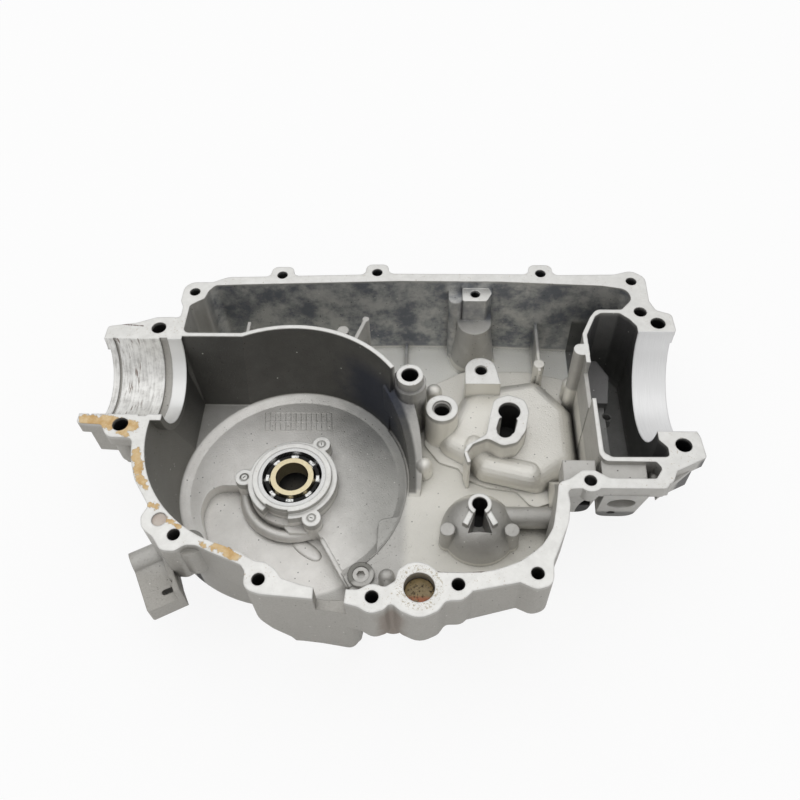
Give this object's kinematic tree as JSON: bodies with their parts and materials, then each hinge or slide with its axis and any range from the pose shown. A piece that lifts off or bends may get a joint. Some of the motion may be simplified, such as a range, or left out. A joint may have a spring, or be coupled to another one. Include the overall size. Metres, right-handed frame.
{
  "type": "crankcase side cover",
  "caption": "Cast aluminium crankcase half cover with a round chamber, a ball bearing in its hub, half-round shaft seats and a bolted joint flange.",
  "frame": {"origin": "middle of the ball bearing, on its axis", "axes": "+Z along the bearing axis, out of the joint face; +X along the axis of the two half-round shaft seats, from the smaller left seat to the larger right one; +Y towards the back wall"},
  "size_m": [0.4379, 0.2992, 0.098],
  "materials": {
    "cast_alloy": "as cast, matt, with a machined joint face",
    "bearing_steel": "ground",
    "inner_ring_steel": "ground, yellowed by oil",
    "cage_steel": "dark, pressed",
    "plug_steel": "dull"
  },
  "bodies": {
    "cover": {"casting": "cast_alloy", "bearing_outer_ring": "bearing_steel", "oil_way_plug": "plug_steel"},
    "inner_ring": {"bearing_inner_ring": "inner_ring_steel"},
    "ball_set": {"bearing_cage": "cage_steel", "ball_1": "bearing_steel", "ball_2": "bearing_steel", "ball_3": "bearing_steel", "ball_4": "bearing_steel", "ball_5": "bearing_steel", "ball_6": "bearing_steel", "ball_7": "bearing_steel", "ball_8": "bearing_steel"}
  },
  "joints": [
    {"name": "inner_ring_spin", "type": "hinge", "parent": "cover", "child": "inner_ring", "pos_m": [0, 0, 0], "axis": [0, 0, 1], "continuous": true},
    {"name": "ball_set_spin", "type": "hinge", "parent": "cover", "child": "ball_set", "pos_m": [0, 0, 0], "axis": [0, 0, 1], "continuous": true}
  ],
  "couplings": [
    {"joint": "ball_set_spin", "follows": "inner_ring_spin", "ratio": 0.3969}
  ]
}
